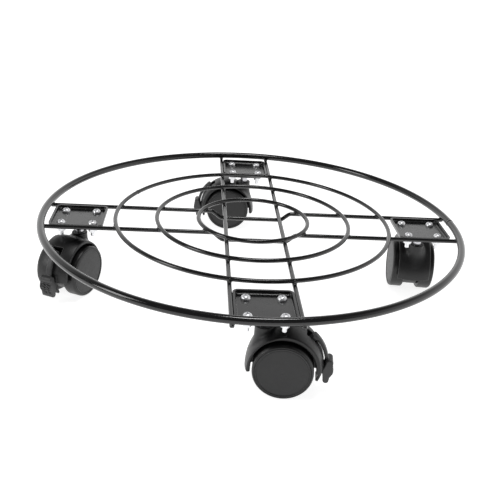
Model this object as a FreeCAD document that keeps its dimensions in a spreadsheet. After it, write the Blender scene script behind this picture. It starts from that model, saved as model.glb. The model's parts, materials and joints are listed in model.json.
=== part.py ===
import FreeCAD, Part
import math
import os

import Sketcher

# Round wire plant caddy: a thick outer ring and three thin rings welded on four cross
# wires, four pressed trays, and four twin-wheel braked casters screwed under the trays.
# Frame: +Z up, ground at Z 0, origin under the centre of the rings, front at -Y.

V = FreeCAD.Vector
ROT = FreeCAD.Rotation
PLACE = FreeCAD.Placement

doc = FreeCAD.newDocument("plant_caddy")
sheet = doc.addObject("Spreadsheet::Sheet", "dims")

DIMENSIONS = [
    # rings and wires
    ("outer_ring_radius", 199.7),
    ("outer_wire_dia", 7.0),
    ("outer_ring_height", 76.2),
    ("large_ring_radius", 132.4),
    ("middle_ring_radius", 93.3),
    ("small_ring_radius", 53.5),
    ("thin_wire_dia", 4.0),
    ("thin_ring_height", 74.7),
    ("cross_wire_height", 70.7),
    ("cross_wire_offset", 27.0),
    ("cross_wire_half_length", 198.3),
    ("joggle_depth", 7.0),
    ("joggle_low_half", 28.5),
    ("joggle_top_half", 41.0),
    # trays
    ("caster_circle_radius", 167.2),
    ("tray_side", 50.0),
    ("tray_corner_radius", 5.0),
    ("tray_fold_radius", 3.5),
    ("tray_sheet", 2.0),
    ("tray_rim_height", 72.4),
    ("tray_depth", 5.2),
    # screws and nuts
    ("screw_spacing", 29.2),
    ("screw_dia", 4.0),
    ("screw_hole_dia", 4.5),
    ("screw_length", 12.0),
    ("screw_head_dia", 8.0),
    ("screw_head_height", 3.1),
    ("recess_width", 0.9),
    ("recess_length", 3.4),
    ("recess_depth", 1.1),
    ("nut_across_flats", 7.0),
    ("nut_height", 3.2),
    # caster mounting
    ("plate_side", 38.0),
    ("plate_thickness", 2.0),
    ("plate_corner_radius", 3.0),
    ("kingpin_dia", 8.0),
    ("kingpin_bottom", 43.0),
    ("grip_groove_height", 52.0),
    ("grip_groove_dia", 6.6),
    ("grip_ring_dia", 9.8),
    ("grip_ring_thickness", 1.2),
    # caster hood
    ("trail", 18.0),
    ("axle_height", 24.4),
    ("web_half_width", 7.0),
    ("hood_radius", 32.0),
    ("web_radius", 20.5),
    ("fender_inner_radius", 26.2),
    ("fender_edge_radius", 29.2),
    ("fender_half_width", 16.0),
    ("fender_sweep", 190.0),
    ("fender_rear_angle", -4.0),
    ("neck_dia", 14.4),
    ("neck_base", 38.4),
    ("neck_top", 55.0),
    ("tongue_end_angle", -27.0),
    ("tongue_thickness", 2.2),
    ("slot_floor_radius", 18.0),
    ("slot_low_angle", 37.5),
    ("slot_high_angle", 59.0),
    ("running_clearance", 0.05),
    # wheels
    ("wheel_radius", 24.4),
    ("wheel_inner_face", 7.6),
    ("wheel_outer_face", 20.8),
    ("wheel_face_radius", 23.0),
    ("cover_radius", 22.2),
    ("cover_thickness", 1.4),
    ("rim_inner_radius", 20.2),
    ("hub_radius", 6.5),
    ("wheel_web_thickness", 4.0),
    ("axle_dia", 6.0),
    ("axle_half_length", 19.0),
    # brake lever
    ("lever_pin_dia", 3.0),
    ("lever_pivot_radius", 23.5),
    ("lever_pivot_angle", 48.0),
    ("lever_boss_dia", 7.6),
    ("riser_low_angle", 43.0),
    ("arm_low_angle", 8.0),
    ("arm_high_angle", 50.0),
    ("lever_half_width", 3.5),
    ("lever_slot_half_width", 4.9),
    ("lever_inner_radius", 32.8),
    ("lever_outer_radius", 35.8),
    ("pedal_half_width", 6.2),
    ("pedal_rounding", 0.8),
]

for row, (alias, value) in enumerate(DIMENSIONS, start=1):
    sheet.set("A%d" % row, alias)
    sheet.set("B%d" % row, str(value))
    sheet.setAlias("B%d" % row, alias)
doc.recompute()


def dim(alias):
    """Value of one driving dimension, read back from the sheet."""
    return float(getattr(sheet, alias))


# Where each caster's swivel axis stands, and which way its wheels trail.
CASTERS = {
    "front": {"place": (0.0, -1.0), "trail_angle": -7.4},
    "left": {"place": (-1.0, 0.0), "trail_angle": 245.1},
    "rear": {"place": (0.0, 1.0), "trail_angle": 177.9},
    "right": {"place": (1.0, 0.0), "trail_angle": 84.0},
}
NODES = []


def caster_point(name):
    """Ground point under the swivel axis of one caster."""
    side_x, side_y = CASTERS[name]["place"]
    radius = dim("caster_circle_radius")
    return V(side_x * radius, side_y * radius, 0)


def caster_place(name):
    """Caster frame: X trails towards the axle, Y runs along the axle, Z is up."""
    turn = ROT(V(0, 0, 1), CASTERS[name]["trail_angle"])
    return PLACE(caster_point(name), turn)


def keep(obj, label, place=None):
    """Names a finished sub-part, places it and lists it for export."""
    obj.Label = label
    if place is not None:
        obj.Placement = place
    NODES.append(obj)
    return obj


def plane(body, role):
    """One of the origin planes of a body."""
    for feature in body.Origin.OriginFeatures:
        if feature.Role == role:
            return feature
    raise ValueError("no origin plane " + role)


def sketch_on(body, role, name):
    sketch = body.newObject("Sketcher::SketchObject", name)
    sketch.AttachmentSupport = [(plane(body, role), "")]
    sketch.MapMode = "FlatFace"
    return sketch


def add_polygon(sketch, points):
    """Closed outline of straight lines through (x, y) points."""
    count = len(points)
    for i in range(count):
        start = V(points[i][0], points[i][1], 0)
        end = V(points[(i + 1) % count][0], points[(i + 1) % count][1], 0)
        sketch.addGeometry(Part.LineSegment(start, end), False)
    for i in range(count):
        sketch.addConstraint(Sketcher.Constraint("Coincident", i, 2, (i + 1) % count, 1))


def add_circle(sketch, x, y, diameter_expression):
    index = sketch.addGeometry(Part.Circle(V(x, y, 0), V(0, 0, 1), 1.0), False)
    constraint = sketch.addConstraint(Sketcher.Constraint("Diameter", index, 2.0))
    sketch.setExpression("Constraints[%d]" % constraint, diameter_expression)
    return index


def revolved_body(name, points):
    """Solid turned about the body's Z axis from an (r, z) outline."""
    body = doc.addObject("PartDesign::Body", name)
    sketch = sketch_on(body, "XZ_Plane", name + "_profile")
    add_polygon(sketch, points)
    turned = body.newObject("PartDesign::Revolution", name + "_turned")
    turned.Profile = sketch
    turned.ReferenceAxis = (sketch, ["V_Axis"])
    turned.Angle = 360.0
    body.Tip = turned
    return body


# ---------------------------------------------------------------- rings and wires

def ring(label, radius_alias, wire_alias, height_alias):
    torus = doc.addObject("Part::Torus", label)
    torus.setExpression("Radius1", "dims." + radius_alias)
    torus.setExpression("Radius2", "dims.%s / 2" % wire_alias)
    torus.setExpression("Placement.Base.z", "dims." + height_alias)
    keep(torus, label)


def straight_wire(label, side):
    """Wire along Y under the rings, at one side of the centre."""
    wire = doc.addObject("Part::Cylinder", label)
    wire.setExpression("Radius", "dims.thin_wire_dia / 2")
    wire.setExpression("Height", "dims.cross_wire_half_length * 2")
    wire.Placement = PLACE(V(0, 0, 0), ROT(V(1, 0, 0), -90))
    wire.setExpression("Placement.Base.x", "dims.cross_wire_offset * %d" % side)
    wire.setExpression("Placement.Base.y", "-dims.cross_wire_half_length")
    wire.setExpression("Placement.Base.z", "dims.cross_wire_height")
    keep(wire, label)


def joggled_wire(label, side):
    """Wire along X that dips under the two straight wires at the centre."""
    body = doc.addObject("PartDesign::Body", label)
    high = dim("cross_wire_height")
    low = high - dim("joggle_depth")
    far = dim("cross_wire_half_length")
    outline = [
        (-far, high),
        (-dim("joggle_top_half"), high),
        (-dim("joggle_low_half"), low),
        (dim("joggle_low_half"), low),
        (dim("joggle_top_half"), high),
        (far, high),
    ]
    path = sketch_on(body, "XZ_Plane", label + "_path")
    for i in range(len(outline) - 1):
        start = V(outline[i][0], outline[i][1], 0)
        end = V(outline[i + 1][0], outline[i + 1][1], 0)
        path.addGeometry(Part.LineSegment(start, end), False)
    for i in range(len(outline) - 2):
        path.addConstraint(Sketcher.Constraint("Coincident", i, 2, i + 1, 1))
    # each bend is rounded, so that the wire runs smoothly through the joggle
    bend_radius = 1.5 * dim("thin_wire_dia")
    for i in range(len(outline) - 2, 0, -1):
        path.fillet(i - 1, 2, bend_radius)
    section = sketch_on(body, "YZ_Plane", label + "_section")
    section.AttachmentOffset = PLACE(V(0, 0, -far), ROT())
    add_circle(section, 0, high, "dims.thin_wire_dia")
    pipe = body.newObject("PartDesign::AdditivePipe", label + "_pipe")
    pipe.Profile = section
    pipe.Spine = path
    body.Tip = pipe
    keep(body, label, PLACE(V(0, side * dim("cross_wire_offset"), 0), ROT()))


ring("outer_ring", "outer_ring_radius", "outer_wire_dia", "outer_ring_height")
ring("large_ring", "large_ring_radius", "thin_wire_dia", "thin_ring_height")
ring("middle_ring", "middle_ring_radius", "thin_wire_dia", "thin_ring_height")
ring("small_ring", "small_ring_radius", "thin_wire_dia", "thin_ring_height")
straight_wire("left_cross_wire", -1)
straight_wire("right_cross_wire", 1)
joggled_wire("front_cross_wire", -1)
joggled_wire("rear_cross_wire", 1)


# ---------------------------------------------------------------- trays

def add_square(sketch, side_expression, name):
    """Centred square whose side follows an expression."""
    half = 10.0
    corners = [V(-half, -half, 0), V(half, -half, 0), V(half, half, 0), V(-half, half, 0)]
    first = sketch.GeometryCount
    for i in range(4):
        sketch.addGeometry(Part.LineSegment(corners[i], corners[(i + 1) % 4]), False)
    for i in range(4):
        following = first + (i + 1) % 4
        sketch.addConstraint(Sketcher.Constraint("Coincident", first + i, 2, following, 1))
    for i in (0, 2):
        sketch.addConstraint(Sketcher.Constraint("Horizontal", first + i))
    for i in (1, 3):
        sketch.addConstraint(Sketcher.Constraint("Vertical", first + i))
    sketch.addConstraint(
        Sketcher.Constraint("Symmetric", first, 1, first + 1, 2, -1, 1))
    for i in (0, 1):
        length = sketch.addConstraint(Sketcher.Constraint("Distance", first + i, 2 * half))
        sketch.renameConstraint(length, "%s_side_%d" % (name, i))
        sketch.setExpression("Constraints.%s_side_%d" % (name, i), side_expression)


def edges_where(shape, test):
    """Names of the edges of a shape whose middle point passes a test."""
    names = []
    for i, edge in enumerate(shape.Edges, start=1):
        middle = edge.valueAt((edge.FirstParameter + edge.LastParameter) / 2)
        if test(edge, middle):
            names.append("Edge%d" % i)
    return names


def is_upright(edge, middle):
    direction = edge.tangentAt(edge.FirstParameter)
    return abs(abs(direction.z) - 1) < 1e-6 and abs(middle.x) > 1 and abs(middle.y) > 1


def rounded(body, base, name, radius_expression, edges):
    fillet = body.newObject("PartDesign::Fillet", name)
    fillet.Base = (base, edges)
    fillet.Radius = 0.5
    fillet.setExpression("Radius", radius_expression)
    body.Tip = fillet
    doc.recompute()
    return fillet


def hole_centres():
    half = dim("screw_spacing") / 2
    return [(-half, -half), (half, -half), (half, half), (-half, half)]


def tray(name):
    """Shallow pressed pan with upturned walls, a rolled fold and four screw holes."""
    body = doc.addObject("PartDesign::Body", name + "_tray_body")
    outline = sketch_on(body, "XY_Plane", name + "_tray_outline")
    add_square(outline, "dims.tray_side", "outer")
    pad = body.newObject("PartDesign::Pad", name + "_tray_pad")
    pad.Profile = outline
    pad.setExpression("Length", "dims.tray_depth")
    body.Tip = pad
    doc.recompute()
    corners = rounded(body, pad, name + "_tray_corners", "dims.tray_corner_radius",
                      edges_where(pad.Shape, is_upright))
    fold_edges = edges_where(corners.Shape, lambda edge, middle: middle.z < 0.01)
    fold = rounded(body, corners, name + "_tray_fold", "dims.tray_fold_radius", fold_edges)
    hollow = body.newObject("PartDesign::Thickness", name + "_tray_hollow")
    top_face = max(range(len(fold.Shape.Faces)),
                   key=lambda i: fold.Shape.Faces[i].CenterOfMass.z)
    hollow.Base = (fold, ["Face%d" % (top_face + 1)])
    hollow.setExpression("Value", "dims.tray_sheet")
    hollow.Reversed = True
    body.Tip = hollow
    doc.recompute()
    holes = sketch_on(body, "XY_Plane", name + "_tray_holes")
    for x, y in hole_centres():
        add_circle(holes, x, y, "dims.screw_hole_dia")
    cut = body.newObject("PartDesign::Pocket", name + "_tray_cut")
    cut.Profile = holes
    cut.Type = 1
    cut.Midplane = True
    body.Tip = cut
    place = PLACE(caster_point(name), ROT())
    place.Base.z = dim("tray_rim_height") - dim("tray_depth")
    keep(body, name + "_tray", place)


for caster in CASTERS:
    tray(caster)


# ---------------------------------------------------------------- screws and nuts

def pan_head_screw(x, y):
    """M4 pan head screw with a cross recess, head resting on the tray floor."""
    head_bottom = dim("tray_rim_height") - dim("tray_depth") + dim("tray_sheet")
    head_radius = dim("screw_head_dia") / 2
    head_height = dim("screw_head_height")
    shank_radius = dim("screw_dia") / 2
    shoulder_height = 1.1
    crown_reach, crown_rise = 0.72, 0.88
    shoulder = V(head_radius, 0, shoulder_height)
    crown = V(head_radius * crown_reach, 0, head_height * crown_rise)
    top = V(0, 0, head_height)
    tip_chamfer = 0.4
    outline = [
        Part.LineSegment(V(0, 0, -dim("screw_length")),
                         V(shank_radius - tip_chamfer, 0, -dim("screw_length"))),
        Part.LineSegment(V(shank_radius - tip_chamfer, 0, -dim("screw_length")),
                         V(shank_radius, 0, -dim("screw_length") + tip_chamfer)),
        Part.LineSegment(V(shank_radius, 0, -dim("screw_length") + tip_chamfer),
                         V(shank_radius, 0, 0)),
        Part.LineSegment(V(shank_radius, 0, 0), V(head_radius, 0, 0)),
        Part.LineSegment(V(head_radius, 0, 0), shoulder),
        Part.Arc(shoulder, crown, top),
        Part.LineSegment(top, V(0, 0, -dim("screw_length"))),
    ]
    wire = Part.Wire([curve.toShape() for curve in outline])
    screw = Part.Face(wire).revolve(V(0, 0, 0), V(0, 0, 1), 360)
    length, width = dim("recess_length"), dim("recess_width")
    depth = dim("recess_depth")
    arms = []
    for size_x, size_y in ((length, width), (width, length)):
        corner = V(-size_x / 2, -size_y / 2, head_height - depth)
        arms.append(Part.makeBox(size_x, size_y, depth + 1, corner))
    screw = screw.cut(arms[0].fuse(arms[1]))
    screw.translate(V(x, y, head_bottom))
    return screw


def hex_nut(x, y):
    """M4 nut under the caster plate, chamfered on its lower corners."""
    plate_bottom = dim("tray_rim_height") - dim("tray_depth") - dim("plate_thickness")
    corner_radius = dim("nut_across_flats") / math.sqrt(3)
    points = []
    for i in range(7):
        angle = math.radians(60 * i)
        points.append(V(corner_radius * math.cos(angle), corner_radius * math.sin(angle), 0))
    height = dim("nut_height")
    nut = Part.Face(Part.makePolygon(points)).extrude(V(0, 0, height))
    crown_radius = dim("nut_across_flats") / 2
    chamfer_height = (corner_radius - crown_radius) * math.tan(math.radians(30))
    crown = Part.makeCone(crown_radius, corner_radius, chamfer_height)
    barrel = Part.makeCylinder(corner_radius + 1, height - chamfer_height, V(0, 0, chamfer_height))
    nut = nut.common(crown.fuse(barrel))
    nut = nut.cut(Part.makeCylinder(dim("screw_dia") / 2, height))
    nut.translate(V(x, y, plate_bottom - height))
    return nut


def fastener_group(label, make_one):
    """All copies of one fastener, four at each tray, as separate solids of one node."""
    solids = []
    for caster in CASTERS:
        centre = caster_point(caster)
        for x, y in hole_centres():
            solids.append(make_one(centre.x + x, centre.y + y))
    group = doc.addObject("Part::Feature", label)
    group.Shape = Part.makeCompound(solids)
    keep(group, label)


fastener_group("tray_screws", pan_head_screw)
fastener_group("tray_nuts", hex_nut)


# ---------------------------------------------------------------- caster plate and kingpin

def caster_plate(name):
    """Square steel plate bolted under the tray, bored for the kingpin."""
    body = doc.addObject("PartDesign::Body", name + "_plate_body")
    outline = sketch_on(body, "XY_Plane", name + "_plate_outline")
    add_square(outline, "dims.plate_side", "plate")
    pad = body.newObject("PartDesign::Pad", name + "_plate_pad")
    pad.Profile = outline
    pad.setExpression("Length", "dims.plate_thickness")
    body.Tip = pad
    doc.recompute()
    rounded(body, pad, name + "_plate_corners", "dims.plate_corner_radius",
            edges_where(pad.Shape, is_upright))
    holes = sketch_on(body, "XY_Plane", name + "_plate_holes")
    for x, y in hole_centres():
        add_circle(holes, x, y, "dims.screw_hole_dia")
    add_circle(holes, 0, 0, "dims.kingpin_dia")
    cut = body.newObject("PartDesign::Pocket", name + "_plate_cut")
    cut.Profile = holes
    cut.Type = 1
    cut.Midplane = True
    body.Tip = cut
    place = PLACE(caster_point(name), ROT())
    place.Base.z = plate_bottom_height()
    keep(body, name + "_caster_plate", place)


def plate_bottom_height():
    return dim("tray_rim_height") - dim("tray_depth") - dim("plate_thickness")


def kingpin(name):
    """Steel swivel pin pressed into the plate, grooved for its grip ring."""
    radius = dim("kingpin_dia") / 2
    groove = dim("grip_groove_dia") / 2
    low = dim("kingpin_bottom")
    high = plate_bottom_height() + dim("plate_thickness")
    groove_low = dim("grip_groove_height")
    groove_high = groove_low + dim("grip_ring_thickness")
    chamfer = 1.0
    outline = [
        (0, low), (radius - chamfer, low), (radius, low + chamfer),
        (radius, groove_low), (groove, groove_low),
        (groove, groove_high), (radius, groove_high),
        (radius, high), (0, high),
    ]
    body = revolved_body(name + "_kingpin_body", outline)
    keep(body, name + "_kingpin", PLACE(caster_point(name), ROT()))


def grip_ring(name):
    """Spring ring in the kingpin groove that holds the hood on the pin."""
    inner = dim("grip_groove_dia") / 2
    outer = dim("grip_ring_dia") / 2
    low = dim("grip_groove_height")
    high = low + dim("grip_ring_thickness")
    outline = [(inner, low), (outer, low), (outer, high), (inner, high)]
    body = revolved_body(name + "_grip_ring_body", outline)
    keep(body, name + "_grip_ring", PLACE(caster_point(name), ROT()))


# ---------------------------------------------------------------- caster hood

def axle_centre():
    return V(dim("trail"), 0, dim("axle_height"))


def polar(radius, angle, side=0.0):
    """Point at a radius and angle about the axle, in the caster's own frame."""
    turn = math.radians(angle)
    centre = axle_centre()
    return V(centre.x + radius * math.cos(turn), side, centre.z + radius * math.sin(turn))


def axle_cylinder(radius, half_width):
    centre = axle_centre()
    return Part.makeCylinder(radius, 2 * half_width, V(centre.x, -half_width, centre.z), V(0, 1, 0))


def lever_pivot():
    """Centre of the lever's pin, inside the slot at the rear top of the hood."""
    return polar(dim("lever_pivot_radius"), dim("lever_pivot_angle"))


def cross_bore(radius):
    """Long cylinder through the lever's pivot, along the axle's direction."""
    pivot = lever_pivot()
    reach = 2 * dim("fender_half_width")
    return Part.makeCylinder(radius, 2 * reach, V(pivot.x, -reach, pivot.z), V(0, 1, 0))


def fender():
    """Crowned shell over both treads, turned part of the way about the axle."""
    inner = dim("fender_inner_radius")
    edge = dim("fender_edge_radius")
    top = dim("hood_radius")
    half = dim("fender_half_width")
    centre = axle_centre()

    def point(width, radius):
        return V(centre.x + radius, width, centre.z)

    # the outer face bulges from a rounded edge at each side up to its middle
    lip_height, lip_width = 0.5, 0.8
    low_lip = edge - lip_height
    high_lip = edge + lip_height / 2
    lip_middle = half - lip_width / 4
    lip_end = half - lip_width
    shoulder_width = 0.55 * half
    shoulder = top - 0.31 * (top - edge)
    outline = [
        Part.LineSegment(point(-half, inner), point(half, inner)),
        Part.LineSegment(point(half, inner), point(half, low_lip)),
        Part.Arc(point(half, low_lip), point(lip_middle, edge), point(lip_end, high_lip)),
        Part.Arc(point(lip_end, high_lip), point(shoulder_width, shoulder), point(0, top)),
        Part.Arc(point(0, top), point(-shoulder_width, shoulder), point(-lip_end, high_lip)),
        Part.Arc(point(-lip_end, high_lip), point(-lip_middle, edge), point(-half, low_lip)),
        Part.LineSegment(point(-half, low_lip), point(-half, inner)),
    ]
    section = Part.Face(Part.Wire([curve.toShape() for curve in outline]))
    section.rotate(centre, V(0, 1, 0), -dim("fender_rear_angle"))
    return section.revolve(centre, V(0, -1, 0), dim("fender_sweep"))


def hood_shape():
    """Plastic hood: middle web between the wheels, fenders, neck, bores and lever slot."""
    half_web = dim("web_half_width")
    inner = dim("fender_inner_radius")
    top = dim("hood_radius")
    web = axle_cylinder(dim("web_radius"), half_web)
    # above the axle the web fills the whole space up to the fenders
    web_low, web_high = dim("fender_rear_angle") + 1, 182
    web_start = dim("axle_dia")
    upper_web = sector(web_start, inner + 1.0, web_low, web_high, half_web)
    # a thin tongue carries the fender's middle further down behind the wheels
    tongue_outer = top - 0.1
    tongue_half, tongue_rounding, tongue_root = half_web - 0.8, 0.9, 10
    tongue = sector(tongue_outer - dim("tongue_thickness"), tongue_outer,
                    dim("tongue_end_angle"), tongue_root, tongue_half)
    tongue = tongue.makeFillet(tongue_rounding, [edge for edge in tongue.Edges if is_low_end(edge)])
    neck_length = dim("neck_top") - dim("neck_base")
    neck_chamfer = 0.6
    neck = Part.makeCylinder(dim("neck_dia") / 2, neck_length, V(0, 0, dim("neck_base")))
    neck = neck.makeChamfer(neck_chamfer, [edge for edge in neck.Edges if is_neck_rim(edge)])
    hood = fender().fuse([web, upper_web, tongue, neck]).removeSplitter()
    # sockets for the kingpin, its grip ring, the axle and the lever pin
    pin_radius = dim("kingpin_dia") / 2 + dim("running_clearance")
    socket_room = 0.5
    socket_bottom = dim("kingpin_bottom") - socket_room
    socket = Part.makeCylinder(pin_radius, dim("neck_top"), V(0, 0, socket_bottom))
    ring_gap = 0.4
    ring_room = Part.makeCylinder(dim("grip_ring_dia") / 2 + ring_gap,
                                  dim("grip_ring_thickness") + 2 * ring_gap,
                                  V(0, 0, dim("grip_groove_height") - ring_gap))
    axle_bore = axle_cylinder(dim("axle_dia") / 2, half_web + 1)
    pin_bore = cross_bore(dim("lever_pin_dia") / 2)
    return hood.cut([socket, ring_room, axle_bore, pin_bore, lever_slot()])


def is_neck_rim(edge):
    """True for the outer circle at the top of the neck."""
    flat = edge.BoundBox.ZLength < 0.1
    return flat and edge.CenterOfMass.z > dim("neck_top") - 1 and edge.Length > dim("neck_dia")


def is_low_end(edge):
    """True for the edges round the lower end of the tongue."""
    middle = edge.CenterOfMass
    reach = math.degrees(math.atan2(middle.z - dim("axle_height"), middle.x - dim("trail")))
    return reach < dim("tongue_end_angle") + 0.5


def sector(inner, outer, low_angle, high_angle, half_width):
    """Block between two radii and two angles about the axle."""
    middle_angle = (low_angle + high_angle) / 2
    outline = [
        Part.LineSegment(polar(inner, low_angle, -half_width), polar(outer, low_angle, -half_width)),
        Part.Arc(polar(outer, low_angle, -half_width), polar(outer, middle_angle, -half_width),
                 polar(outer, high_angle, -half_width)),
        Part.LineSegment(polar(outer, high_angle, -half_width), polar(inner, high_angle, -half_width)),
        Part.Arc(polar(inner, high_angle, -half_width), polar(inner, middle_angle, -half_width),
                 polar(inner, low_angle, -half_width)),
    ]
    face = Part.Face(Part.Wire([curve.toShape() for curve in outline]))
    return face.extrude(V(0, 2 * half_width, 0))


def lever_slot():
    """Space cut from the hood for the lever's boss and riser."""
    return sector(dim("slot_floor_radius"), dim("hood_radius") + 3, dim("slot_low_angle"),
                  dim("slot_high_angle"), dim("lever_slot_half_width"))


def hood(name):
    feature = doc.addObject("Part::Feature", name + "_hood_body")
    feature.Shape = hood_shape()
    keep(feature, name + "_hood", caster_place(name))


# ---------------------------------------------------------------- axle, wheels and covers

def along_axle(name, side):
    """Placement that lays a turned piece along the axle, its Z towards one side."""
    lay_down = ROT(V(1, 0, 0), -90 * side)
    return caster_place(name).multiply(PLACE(axle_centre(), lay_down))


SNAP_START = 16.6
SNAP_END = 17.6
SNAP_DEPTH = 0.6
SNAP_PLAY = 0.3
HUB_LIP = 0.25
HUB_LIP_SLOPE = 0.2


def axle(name):
    """Steel pin through the hood, with a snap groove near each end."""
    radius = dim("axle_dia") / 2
    groove = radius - SNAP_DEPTH
    groove_start = SNAP_START - SNAP_PLAY
    groove_end = SNAP_END + SNAP_PLAY
    end = dim("axle_half_length")
    chamfer = 0.6
    outline = [
        (0, -end), (radius - chamfer, -end), (radius, -end + chamfer),
        (radius, -groove_end), (groove, -groove_end),
        (groove, -groove_start), (radius, -groove_start),
        (radius, groove_start), (groove, groove_start),
        (groove, groove_end), (radius, groove_end),
        (radius, end - chamfer), (radius - chamfer, end), (0, end),
    ]
    body = revolved_body(name + "_axle_body", outline)
    keep(body, name + "_axle", along_axle(name, 1))


def wheel(name, side, side_name):
    """Hollow wheel with a rounded tread, a web, and a hub whose lip snaps in the axle."""
    bore = dim("axle_dia") / 2 + dim("running_clearance")
    lip = dim("axle_dia") / 2 - HUB_LIP
    inner, outer = dim("wheel_inner_face"), dim("wheel_outer_face")
    tread, face = dim("wheel_radius"), dim("wheel_face_radius")
    seat = dim("cover_radius")
    seat_floor = outer - dim("cover_thickness")
    rim = dim("rim_inner_radius")
    hub, hub_end = dim("hub_radius"), axle_hub_end()
    web = inner + dim("wheel_web_thickness")
    inner_round, outer_round, step = 1.1, 2.0, 0.3
    outline = [
        # inner face and the rounding up to the tread
        (bore, inner), (rim, inner), (tread - inner_round + step, inner + step),
        (tread, inner + inner_round),
        # tread, its outer rounding and the face round the cover
        (tread, outer - outer_round), (tread - step, outer - outer_round / 2),
        (tread - outer_round / 2 + step / 2, outer - step), (face, outer),
        # seat of the cover, inside of the rim, web and hub
        (seat, outer), (seat, seat_floor), (rim, seat_floor), (rim, web), (hub, web),
        (hub, hub_end), (bore, hub_end),
        # lip that snaps into the axle's groove
        (bore, SNAP_END), (lip, SNAP_END - HUB_LIP_SLOPE),
        (lip, SNAP_START + HUB_LIP_SLOPE), (bore, SNAP_START),
    ]
    body = revolved_body("%s_%s_wheel_body" % (name, side_name), outline)
    keep(body, "%s_%s_wheel" % (name, side_name), along_axle(name, side))


def axle_hub_end():
    return dim("axle_half_length") - 0.2


def wheel_cover(name, side, side_name):
    """Disc snapped into the wheel's outer face, with a raised line near its rim."""
    outer = dim("wheel_outer_face")
    radius = dim("cover_radius")
    seat_floor = outer - dim("cover_thickness")
    face = outer - 0.1
    rim = dim("rim_inner_radius")
    back = seat_floor + 0.2
    spigot_end, spigot_wall = seat_floor - 2.5, 1.2
    # the raised line is a narrow flat-topped ridge close to the rim
    ridge_height, ridge_flat, ridge_slope, ridge_edge = 0.4, 0.5, 0.4, 0.5
    ridge_outer = radius - ridge_edge
    ridge_inner = ridge_outer - ridge_flat
    outline = [
        (0, back), (rim - spigot_wall, back), (rim - spigot_wall, spigot_end),
        (rim, spigot_end), (rim, seat_floor), (radius, seat_floor), (radius, face),
        (ridge_outer, face + ridge_height), (ridge_inner, face + ridge_height),
        (ridge_inner - ridge_slope, face), (0, face),
    ]
    body = revolved_body("%s_%s_cover_body" % (name, side_name), outline)
    keep(body, "%s_%s_wheel_cover" % (name, side_name), along_axle(name, side))


# ---------------------------------------------------------------- brake lever

def lever_shape():
    """T-shaped pedal on a curved arm that comes out of the hood's slot."""
    half = dim("lever_half_width")
    inner, outer = dim("lever_inner_radius"), dim("lever_outer_radius")
    high = dim("arm_high_angle")
    pivot = lever_pivot()
    boss = Part.makeCylinder(dim("lever_boss_dia") / 2, 2 * half, V(pivot.x, -half, pivot.z), V(0, 1, 0))
    riser_start, arm_rounding = dim("lever_pivot_radius") - 3, 1.6
    riser = sector(riser_start, inner + 1, dim("riser_low_angle"), high, half)
    arm = sector(inner, outer, dim("arm_low_angle"), high, half)
    arm = arm.makeFillet(arm_rounding, [edge for edge in arm.Edges if is_arm_nose(edge)])
    lever = boss.fuse([riser, arm, pedal_shape()]).removeSplitter()
    return lever.cut(cross_bore(dim("lever_pin_dia") / 2 + dim("running_clearance")))


def is_arm_nose(edge):
    """True for the outer edge across the arm where it turns down into the slot."""
    middle = edge.valueAt((edge.FirstParameter + edge.LastParameter) / 2)
    along_axle = abs(abs(edge.tangentAt(edge.FirstParameter).y) - 1) < 1e-6
    reach = math.hypot(middle.x - dim("trail"), middle.z - dim("axle_height"))
    upper = middle.z > 2 * dim("axle_height") - 2
    return along_axle and upper and reach > dim("lever_outer_radius") - 0.5


def pedal_shape():
    """Thick foot pad with a bulged top, a curved back and pressing ribs."""
    half = dim("pedal_half_width")
    centre = axle_centre()

    def point(reach, rise):
        return V(centre.x + reach, -half, centre.z + rise)

    corners = [
        point(32.9, 4.6), point(37.4, 5.6), point(40.2, 1.5),
        point(39.4, -5.0), point(36.3, -13.9), point(32.5, -14.8),
    ]
    pedal = Part.Face(Part.makePolygon(corners + corners[:1])).extrude(V(0, 2 * half, 0))
    across = [edge for edge in pedal.Edges if edge.BoundBox.YLength > half]
    pedal = pedal.makeFillet(2 * dim("pedal_rounding"), across)
    side_edges = [edge for edge in pedal.Edges if edge.BoundBox.YLength < 0.1]
    pedal = pedal.makeFillet(dim("pedal_rounding"), side_edges)
    ribs = []
    rib_count, rib_radius, rib_margin = 5, 0.6, 1.4
    rib_half = half - rib_margin
    first, last = point(39.1, -4.0), point(36.8, -10.8)
    for i in range(rib_count):
        middle = first + (last - first) * (i / (rib_count - 1))
        start = V(middle.x, -rib_half, middle.z)
        ribs.append(Part.makeCylinder(rib_radius, 2 * rib_half, start, V(0, 1, 0)))
    return pedal.fuse(ribs)


def brake_lever(name):
    feature = doc.addObject("Part::Feature", name + "_lever_body")
    feature.Shape = lever_shape()
    keep(feature, name + "_brake_lever", caster_place(name))


def lever_pin(name):
    """Steel pin pressed through the hood's web, on which the lever turns."""
    half = dim("web_half_width") - 0.3
    pin = doc.addObject("Part::Cylinder", name + "_lever_pin_body")
    pin.setExpression("Radius", "dims.lever_pin_dia / 2")
    pin.Height = 2 * half
    pivot = lever_pivot()
    place = PLACE(V(pivot.x, -half, pivot.z), ROT(V(1, 0, 0), -90))
    keep(pin, name + "_lever_pin", caster_place(name).multiply(place))


for caster in CASTERS:
    caster_plate(caster)
    kingpin(caster)
    grip_ring(caster)
    hood(caster)
    axle(caster)
    for side, side_name in ((1, "inner"), (-1, "outer")):
        wheel(caster, side, side_name)
        wheel_cover(caster, side, side_name)
    brake_lever(caster)
    lever_pin(caster)

doc.recompute()

# ---------------------------------------------------------------- checks and export

for obj in doc.Objects:
    if "Invalid" in obj.State or "Error" in obj.State:
        raise RuntimeError("failed object: " + obj.Name)
for node in NODES:
    if node.Shape.isNull() or not node.Shape.isValid():
        raise RuntimeError("bad shape: " + node.Label)

os.makedirs("parts", exist_ok=True)
for node in NODES:
    node.Shape.exportStep("parts/%s.step" % node.Label)
print(len(NODES), "nodes written")
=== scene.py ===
import json
import math

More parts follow.
